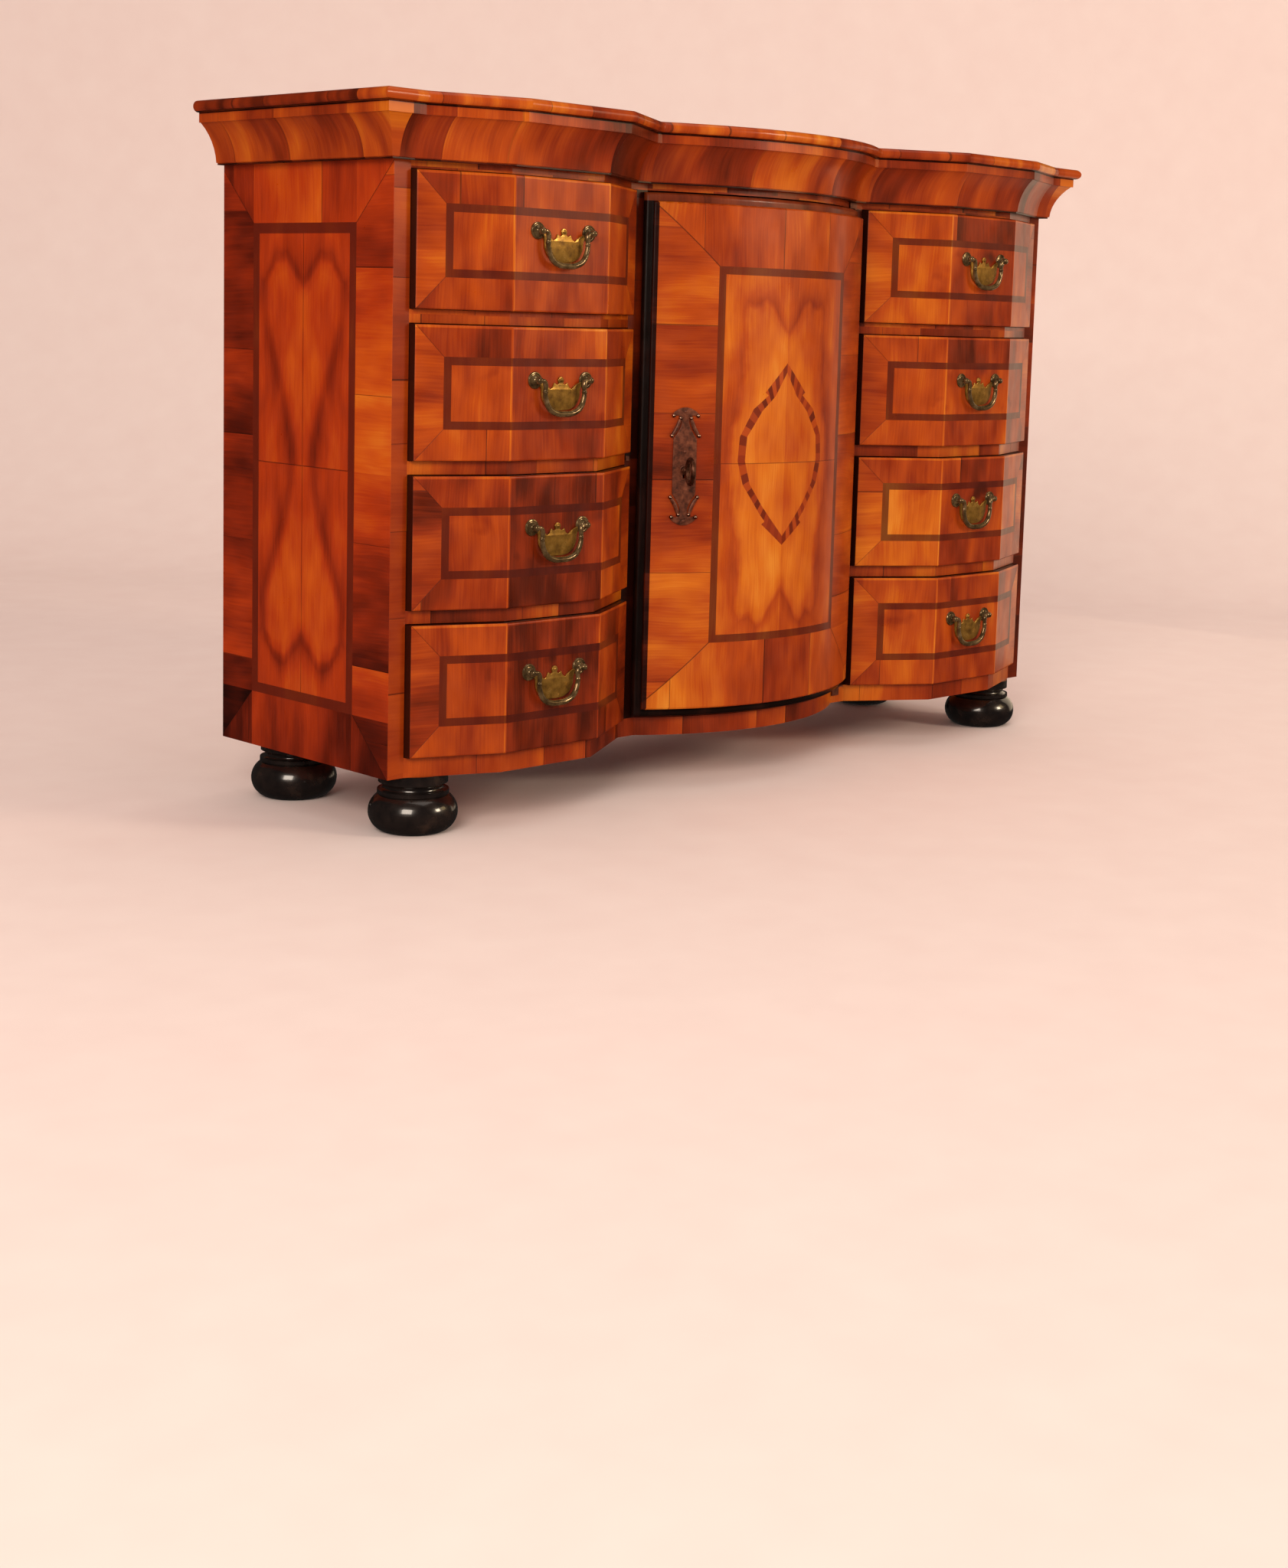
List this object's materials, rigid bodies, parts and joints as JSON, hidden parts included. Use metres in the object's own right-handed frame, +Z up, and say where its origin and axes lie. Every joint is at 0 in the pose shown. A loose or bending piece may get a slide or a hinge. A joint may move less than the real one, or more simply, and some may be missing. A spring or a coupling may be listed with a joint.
{
  "type": "table cabinet",
  "caption": "Walnut-veneered table cabinet on ebonised bun feet: faceted drawers in banks either side of a bow-fronted locking door, under a cove cornice.",
  "frame": {"origin": "on the floor under the middle of the overall box", "axes": "+X to the viewer's right along the front, +Y from the front to the back, +Z up"},
  "size_m": [1.114, 0.359, 0.723],
  "materials": {
    "walnut_veneer": "French-polished walnut veneer",
    "walnut_moulding": "polished cross-grain walnut",
    "dark_moulding": "dark stained and polished",
    "ebonised_wood": "black polish",
    "pine": "aged bare softwood",
    "oak": "aged bare oak",
    "brass": "aged cast brass",
    "iron": "brown-patinated wrought iron"
  },
  "bodies": {
    "carcass": {"base_board": "walnut_veneer", "top_board": "walnut_veneer", "left_side_panel": "walnut_veneer", "right_side_panel": "walnut_veneer", "left_partition": "pine", "right_partition": "pine", "front_stiles": "walnut_veneer", "left_dividers": "walnut_veneer", "right_dividers": "walnut_veneer", "drawer_guides": "pine", "back_boards": "pine", "shelf": "pine", "shelf_bearers": "pine", "cornice_moulding": "walnut_moulding", "cornice_back_rail": "pine", "top_panel": "walnut_veneer", "top_edge_moulding": "walnut_moulding", "front_feet": "ebonised_wood", "back_feet": "ebonised_wood", "pintle_plates": "iron", "lock_keeper": "iron", "stile_studs": "iron"},
    "left_drawer_1": {"left_drawer_1_front": "walnut_veneer", "left_drawer_1_box": "oak", "left_drawer_1_handle": "brass"},
    "left_bail_1": {"left_drawer_1_bail": "brass"},
    "left_drawer_2": {"left_drawer_2_front": "walnut_veneer", "left_drawer_2_box": "oak", "left_drawer_2_handle": "brass"},
    "left_bail_2": {"left_drawer_2_bail": "brass"},
    "left_drawer_3": {"left_drawer_3_front": "walnut_veneer", "left_drawer_3_box": "oak", "left_drawer_3_handle": "brass"},
    "left_bail_3": {"left_drawer_3_bail": "brass"},
    "left_drawer_4": {"left_drawer_4_front": "walnut_veneer", "left_drawer_4_box": "oak", "left_drawer_4_handle": "brass"},
    "left_bail_4": {"left_drawer_4_bail": "brass"},
    "right_drawer_1": {"right_drawer_1_front": "walnut_veneer", "right_drawer_1_box": "oak", "right_drawer_1_handle": "brass"},
    "right_bail_1": {"right_drawer_1_bail": "brass"},
    "right_drawer_2": {"right_drawer_2_front": "walnut_veneer", "right_drawer_2_box": "oak", "right_drawer_2_handle": "brass"},
    "right_bail_2": {"right_drawer_2_bail": "brass"},
    "right_drawer_3": {"right_drawer_3_front": "walnut_veneer", "right_drawer_3_box": "oak", "right_drawer_3_handle": "brass"},
    "right_bail_3": {"right_drawer_3_bail": "brass"},
    "right_drawer_4": {"right_drawer_4_front": "walnut_veneer", "right_drawer_4_box": "oak", "right_drawer_4_handle": "brass"},
    "right_bail_4": {"right_drawer_4_bail": "brass"},
    "door": {"door_panel": "walnut_veneer", "door_moulding": "dark_moulding", "lock_plate": "iron", "lock_case": "iron"},
    "key": {"key": "iron"},
    "lock_bolt": {"lock_bolt": "iron"}
  },
  "joints": [
    {"name": "left_drawer_1_slide", "type": "slide", "parent": "carcass", "child": "left_drawer_1", "axis": [0, -1, 0], "range_m": [0, 0.19]},
    {"name": "left_bail_1_swing", "type": "hinge", "parent": "left_drawer_1", "child": "left_bail_1", "pos_m": [-0.345, -0.1583, 0.59975], "axis": [-1, 0, 0], "range_deg": [0, 90]},
    {"name": "left_drawer_2_slide", "type": "slide", "parent": "carcass", "child": "left_drawer_2", "axis": [0, -1, 0], "range_m": [0, 0.19]},
    {"name": "left_bail_2_swing", "type": "hinge", "parent": "left_drawer_2", "child": "left_bail_2", "pos_m": [-0.345, -0.1583, 0.45325], "axis": [-1, 0, 0], "range_deg": [0, 90]},
    {"name": "left_drawer_3_slide", "type": "slide", "parent": "carcass", "child": "left_drawer_3", "axis": [0, -1, 0], "range_m": [0, 0.19]},
    {"name": "left_bail_3_swing", "type": "hinge", "parent": "left_drawer_3", "child": "left_bail_3", "pos_m": [-0.345, -0.1583, 0.30675], "axis": [-1, 0, 0], "range_deg": [0, 90]},
    {"name": "left_drawer_4_slide", "type": "slide", "parent": "carcass", "child": "left_drawer_4", "axis": [0, -1, 0], "range_m": [0, 0.19]},
    {"name": "left_bail_4_swing", "type": "hinge", "parent": "left_drawer_4", "child": "left_bail_4", "pos_m": [-0.345, -0.1583, 0.16025], "axis": [-1, 0, 0], "range_deg": [0, 90]},
    {"name": "right_drawer_1_slide", "type": "slide", "parent": "carcass", "child": "right_drawer_1", "axis": [0, 1, 0], "range_m": [-0.19, 0]},
    {"name": "right_bail_1_swing", "type": "hinge", "parent": "right_drawer_1", "child": "right_bail_1", "pos_m": [0.345, -0.1583, 0.59975], "axis": [-1, 0, 0], "range_deg": [0, 90]},
    {"name": "right_drawer_2_slide", "type": "slide", "parent": "carcass", "child": "right_drawer_2", "axis": [0, 1, 0], "range_m": [-0.19, 0]},
    {"name": "right_bail_2_swing", "type": "hinge", "parent": "right_drawer_2", "child": "right_bail_2", "pos_m": [0.345, -0.1583, 0.45325], "axis": [-1, 0, 0], "range_deg": [0, 90]},
    {"name": "right_drawer_3_slide", "type": "slide", "parent": "carcass", "child": "right_drawer_3", "axis": [0, 1, 0], "range_m": [-0.19, 0]},
    {"name": "right_bail_3_swing", "type": "hinge", "parent": "right_drawer_3", "child": "right_bail_3", "pos_m": [0.345, -0.1583, 0.30675], "axis": [-1, 0, 0], "range_deg": [0, 90]},
    {"name": "right_drawer_4_slide", "type": "slide", "parent": "carcass", "child": "right_drawer_4", "axis": [0, 1, 0], "range_m": [-0.19, 0]},
    {"name": "right_bail_4_swing", "type": "hinge", "parent": "right_drawer_4", "child": "right_bail_4", "pos_m": [0.345, -0.1583, 0.16025], "axis": [-1, 0, 0], "range_deg": [0, 90]},
    {"name": "door_hinge", "type": "hinge", "parent": "carcass", "child": "door", "pos_m": [0.1696, -0.08969, 0.36], "axis": [0, 0, 1], "range_deg": [0, 95]},
    {"name": "key_turn", "type": "hinge", "parent": "door", "child": "key", "pos_m": [-0.13732, -0.12324, 0.355], "axis": [-0.4575, -0.8892, 0], "range_deg": [0, 180]},
    {"name": "lock_bolt_slide", "type": "slide", "parent": "door", "child": "lock_bolt", "axis": [-0.8892, 0.4575, 0], "range_m": [0, 0.012]}
  ],
  "couplings": [
    {"joint": "key_turn", "follows": "lock_bolt_slide", "rad_per_m": 261.8}
  ]
}
